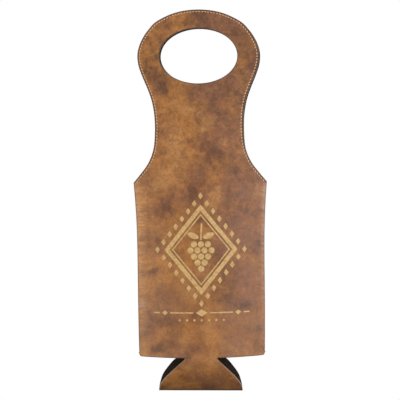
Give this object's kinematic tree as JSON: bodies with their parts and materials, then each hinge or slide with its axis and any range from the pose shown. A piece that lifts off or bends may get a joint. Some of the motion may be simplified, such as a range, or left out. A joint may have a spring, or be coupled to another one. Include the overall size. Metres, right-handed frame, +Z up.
{
  "type": "bottle carrier",
  "caption": "Flat leatherette sleeve for one bottle, with waisted handles, oval hand holes, a folding base and sides that bend open.",
  "frame": {"origin": "top inner edge of the oval hand hole, in the middle plane between the two handles", "axes": "+X across the width, to the right as seen from the front, +Y from the front panel to the back panel, +Z up"},
  "size_m": [0.129, 0.0446, 0.368],
  "materials": {
    "leatherette": "fine grained, mottled, satin",
    "lining": "matt knitted backing",
    "thread": "satin polyester thread"
  },
  "bodies": {
    "back_centre": {"back_panel_centre": "leatherette", "back_lining_centre": "lining", "back_grip_panel": "leatherette", "back_grip_lining": "lining", "back_topstitch_centre": "thread"},
    "back_left_wing": {"back_panel_left": "leatherette", "back_lining_left": "lining", "back_topstitch_left": "thread", "back_allowance_left": "leatherette"},
    "back_right_wing": {"back_panel_right": "leatherette", "back_lining_right": "lining", "back_topstitch_right": "thread", "back_allowance_right": "leatherette"},
    "base_back": {"base_back_panel": "leatherette", "base_back_lining": "lining"},
    "front_centre": {"front_panel_centre": "leatherette", "front_lining_centre": "lining", "front_grip_panel": "leatherette", "front_grip_lining": "lining", "front_topstitch_centre": "thread"},
    "front_left_wing": {"front_panel_left": "leatherette", "front_lining_left": "lining", "front_topstitch_left": "thread", "front_allowance_left": "leatherette"},
    "front_right_wing": {"front_panel_right": "leatherette", "front_lining_right": "lining", "front_topstitch_right": "thread", "front_allowance_right": "leatherette"},
    "base_front": {"base_front_panel": "leatherette", "base_front_lining": "lining"}
  },
  "joints": [
    {"name": "sleeve_open", "type": "hinge", "parent": "back_centre", "child": "back_left_wing", "pos_m": [-0.0278, 0.0161, -0.3158], "axis": [0, -0.0461, 0.9989], "range_deg": [0, 45]},
    {"name": "left_side_seam", "type": "hinge", "parent": "back_left_wing", "child": "front_left_wing", "pos_m": [-0.0607, 0, -0.3158], "axis": [0.0227, 0, -0.9997], "range_deg": [0, 90]},
    {"name": "front_left_crease", "type": "hinge", "parent": "front_left_wing", "child": "front_centre", "pos_m": [-0.0278, -0.0161, -0.3158], "axis": [0, 0.0461, 0.9989], "range_deg": [0, 45]},
    {"name": "front_right_crease", "type": "hinge", "parent": "front_centre", "child": "front_right_wing", "pos_m": [0.0278, -0.0161, -0.3158], "axis": [0, 0.0461, 0.9989], "range_deg": [0, 45]},
    {"name": "back_right_crease", "type": "hinge", "parent": "back_centre", "child": "back_right_wing", "pos_m": [0.0278, 0.0161, -0.3158], "axis": [0, 0.0461, -0.9989], "range_deg": [0, 45]},
    {"name": "back_base_neck", "type": "hinge", "parent": "back_centre", "child": "base_back", "pos_m": [0, 0.0189, -0.3158], "axis": [-1, 0, 0], "range_deg": [0, 43]},
    {"name": "front_base_neck", "type": "hinge", "parent": "front_centre", "child": "base_front", "pos_m": [0, -0.0189, -0.3158], "axis": [1, 0, 0], "range_deg": [0, 43]}
  ],
  "couplings": [
    {"joint": "left_side_seam", "follows": "sleeve_open", "ratio": 2},
    {"joint": "front_left_crease", "follows": "sleeve_open", "ratio": 1},
    {"joint": "front_right_crease", "follows": "sleeve_open", "ratio": 1},
    {"joint": "back_right_crease", "follows": "sleeve_open", "ratio": 1},
    {"joint": "back_base_neck", "follows": "sleeve_open", "ratio": 0.95},
    {"joint": "front_base_neck", "follows": "sleeve_open", "ratio": 0.95}
  ]
}
